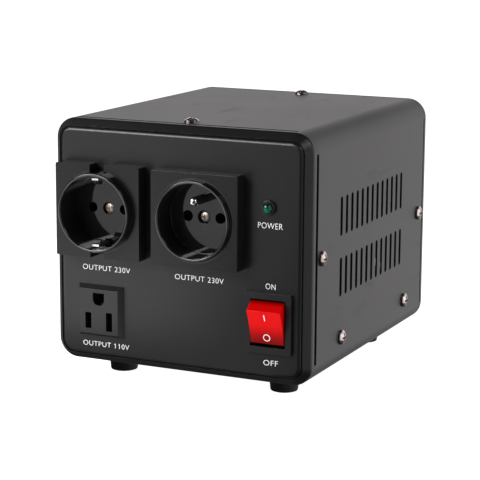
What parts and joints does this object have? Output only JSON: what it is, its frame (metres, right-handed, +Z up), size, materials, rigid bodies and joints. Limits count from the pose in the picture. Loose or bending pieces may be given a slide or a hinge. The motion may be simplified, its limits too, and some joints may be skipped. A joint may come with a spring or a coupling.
{
  "type": "travel voltage converter",
  "caption": "Boxed step-up and step-down transformer on rubber feet, with round and flat-blade outlets, rocker switch, pilot light and side vents.",
  "frame": {"origin": "under the middle of the whole part, on the surface that the feet stand on", "axes": "+Z up, front towards -Y, +X to the right seen from the front"},
  "size_m": [0.1548, 0.202, 0.1449],
  "materials": {
    "panel": "satin black",
    "cover": "satin black paint",
    "outlet": "gloss black",
    "black_plastic": "matt black",
    "bezel": "satin black",
    "rocker": "gloss red",
    "lens": "gloss green",
    "rubber": "matt black",
    "screw": "nickel",
    "zinc": "zinc",
    "brass": "plain",
    "core": "varnished laminations",
    "copper": "enamelled copper",
    "bobbin": "natural",
    "fuse": "clear"
  },
  "bodies": {
    "case": {"front_panel": "panel", "rear_panel": "panel", "wrap_cover": "cover", "base_tray": "zinc", "foot_front_left": "rubber", "foot_front_right": "rubber", "foot_rear_left": "rubber", "foot_rear_right": "rubber", "foot_screws": "screw", "foot_nuts": "zinc", "cover_screws": "screw", "clip_outlet_housing": "outlet", "clip_outlet_strap": "screw", "clip_outlet_contacts": "brass", "clip_outlet_screw": "screw", "clip_outlet_back": "black_plastic", "pin_outlet_housing": "outlet", "pin_outlet_earth_pin": "screw", "pin_outlet_contacts": "brass", "pin_outlet_screw": "screw", "pin_outlet_back": "black_plastic", "blade_outlet_housing": "black_plastic", "blade_outlet_contacts": "brass", "switch_frame": "bezel", "switch_terminals": "brass", "light_holder": "bezel", "light_lens": "lens", "core": "core", "bobbin": "bobbin", "winding": "copper", "core_strap": "zinc", "strap_bolts": "zinc", "core_bolts": "zinc", "cord_bush": "rubber", "fuse_holder": "black_plastic", "fuse_nut": "black_plastic", "fuse_link": "fuse", "earth_stud": "zinc", "terminal_block": "bobbin", "terminal_screws": "brass"},
    "rocker": {"switch_rocker": "rocker"},
    "fuse_cap": {"fuse_cap": "black_plastic"}
  },
  "joints": [
    {"name": "rocker_press", "type": "hinge", "parent": "case", "child": "rocker", "pos_m": [0.0527, -0.0878, 0.0435], "axis": [-1, 0, 0], "range_deg": [0, 34]},
    {"name": "fuse_cap_turn", "type": "hinge", "parent": "case", "child": "fuse_cap", "pos_m": [-0.045, 0.089, 0.0405], "axis": [0, 1, 0], "range_deg": [0, 90]}
  ]
}
